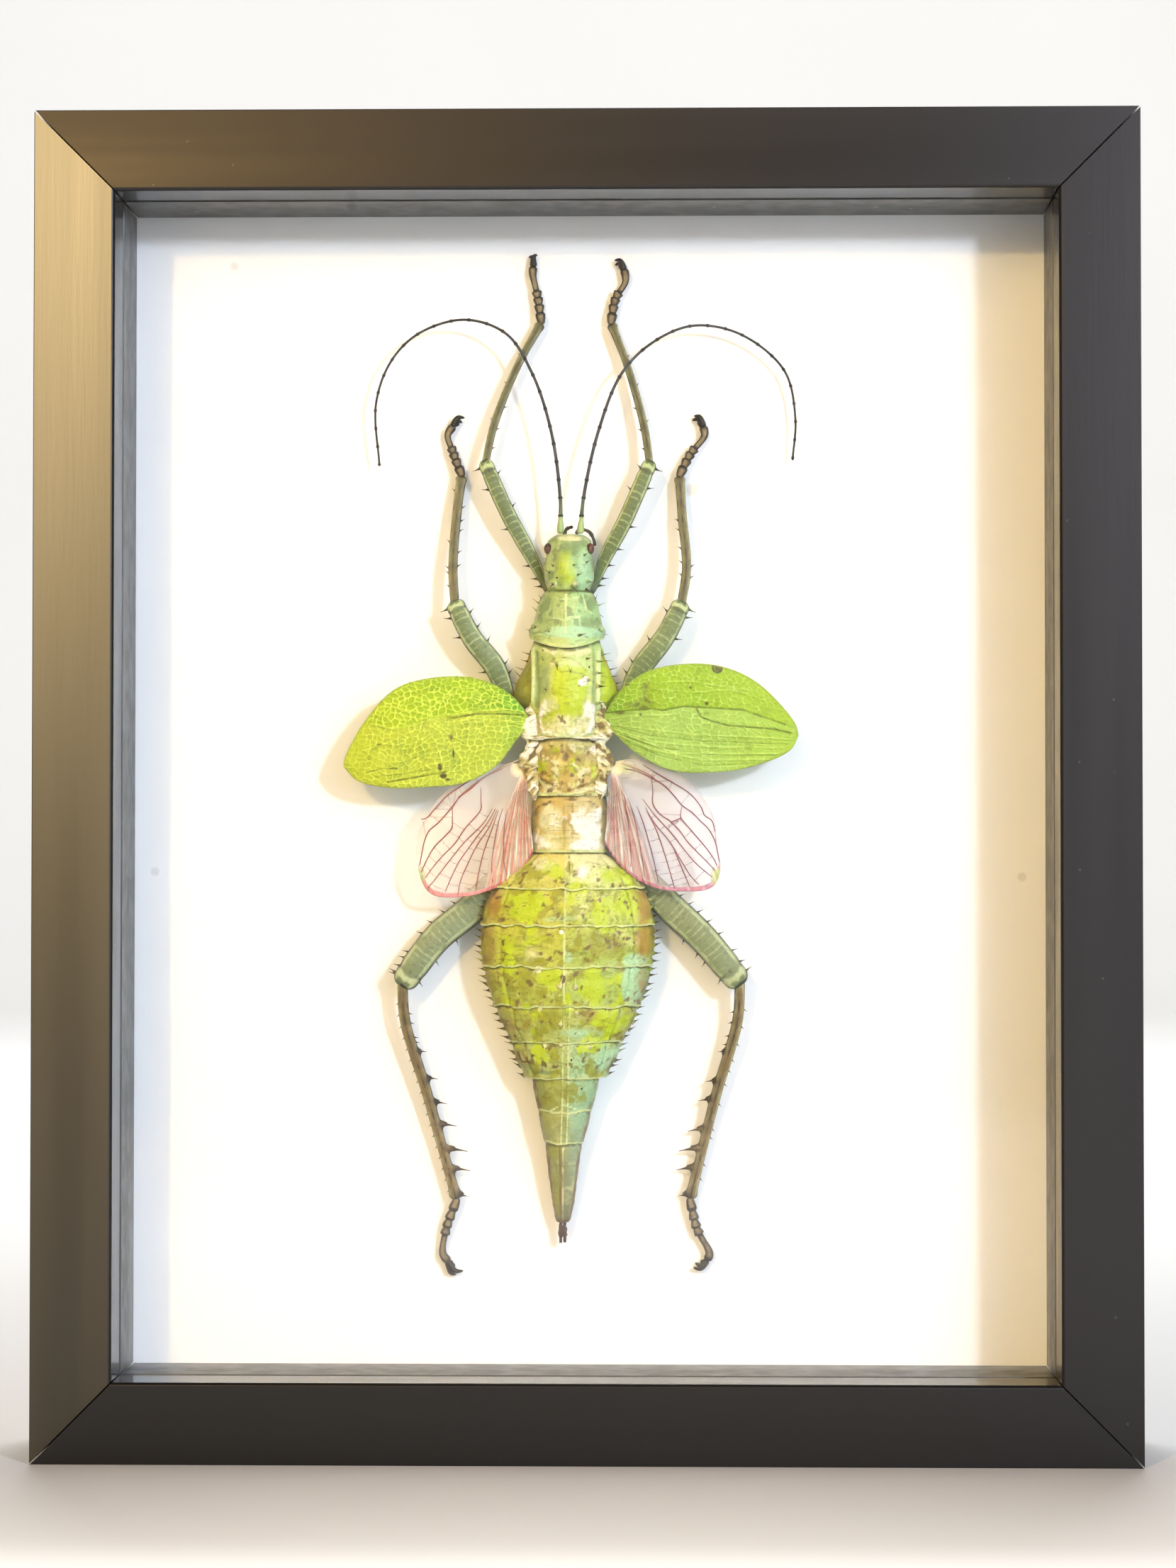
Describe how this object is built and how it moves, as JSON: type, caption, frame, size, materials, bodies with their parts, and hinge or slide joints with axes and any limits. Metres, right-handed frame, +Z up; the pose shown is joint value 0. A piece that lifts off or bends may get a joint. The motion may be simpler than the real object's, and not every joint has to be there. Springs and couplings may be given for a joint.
{
  "type": "framed giant stick insect specimen",
  "caption": "Dried spiny giant stick insect, a stout female with short spread wings, fixed on a white card in a deep black glazed box frame that stands or hangs",
  "frame": {"origin": "centre of the frame's depth and width, at its underside, where it stands", "axes": "+Z up, from the insect's tail to its head; -Y out of the glass, towards the viewer; +X to the viewer's right"},
  "size_m": [0.231, 0.045, 0.2825],
  "materials": {
    "frame_black": "satin black paint on a wooden moulding",
    "spacer_grey": "satin dark grey spacer",
    "zinc_steel": "zinc plated sheet steel",
    "glass": "clear sheet glass",
    "white_card": "matt white mount card",
    "back_board": "bare brown hardboard",
    "eye": "dark red-brown, glossy",
    "feelers": "dark brown-grey, dry",
    "fore_wing": "lime green leathery wing, netted veins",
    "hind_wing": "pink membrane, magenta veins",
    "leg_green": "sage green, matt",
    "leg_olive": "grey olive-brown, matt",
    "foot_brown": "dark brown, dry",
    "body_green": "yellow-green and mint, satin"
  },
  "bodies": {
    "root": {"head": "body_green", "eye_left": "eye", "eye_right": "eye", "prothorax": "body_green", "mesothorax": "body_green", "metathorax": "body_green", "abdomen_1": "body_green", "abdomen_2": "body_green", "abdomen_3": "body_green", "abdomen_4": "body_green", "abdomen_5": "body_green", "abdomen_6": "body_green", "abdomen_7": "body_green", "abdomen_8": "body_green", "abdomen_9": "body_green", "ovipositor": "body_green", "femur_fore_left": "leg_green", "tibia_fore_left": "leg_olive", "tarsus_fore_left": "foot_brown", "femur_fore_right": "leg_green", "tibia_fore_right": "leg_olive", "tarsus_fore_right": "foot_brown", "femur_mid_left": "leg_green", "tibia_mid_left": "leg_olive", "tarsus_mid_left": "foot_brown", "femur_mid_right": "leg_green", "tibia_mid_right": "leg_olive", "tarsus_mid_right": "foot_brown", "femur_hind_left": "leg_green", "tibia_hind_left": "leg_olive", "tarsus_hind_left": "foot_brown", "femur_hind_right": "leg_green", "tibia_hind_right": "leg_olive", "tarsus_hind_right": "foot_brown", "antenna_left_base": "feelers", "antenna_left_tip": "feelers", "antenna_right_base": "feelers", "antenna_right_tip": "feelers", "palp_left": "feelers", "palp_right": "feelers", "tegmen_left": "fore_wing", "hindwing_left": "hind_wing", "tegmen_right": "fore_wing", "hindwing_right": "hind_wing", "frame_bottom": "frame_black", "frame_top": "frame_black", "frame_left": "frame_black", "frame_right": "frame_black", "spacer_bottom": "spacer_grey", "spacer_top": "spacer_grey", "spacer_left": "spacer_grey", "spacer_right": "spacer_grey", "glass": "glass", "mount_card": "white_card", "back_board": "back_board", "tab_left_low": "zinc_steel", "tab_left_high": "zinc_steel", "tab_right_low": "zinc_steel", "tab_right_high": "zinc_steel", "hanger": "zinc_steel"}
  },
  "joints": []
}
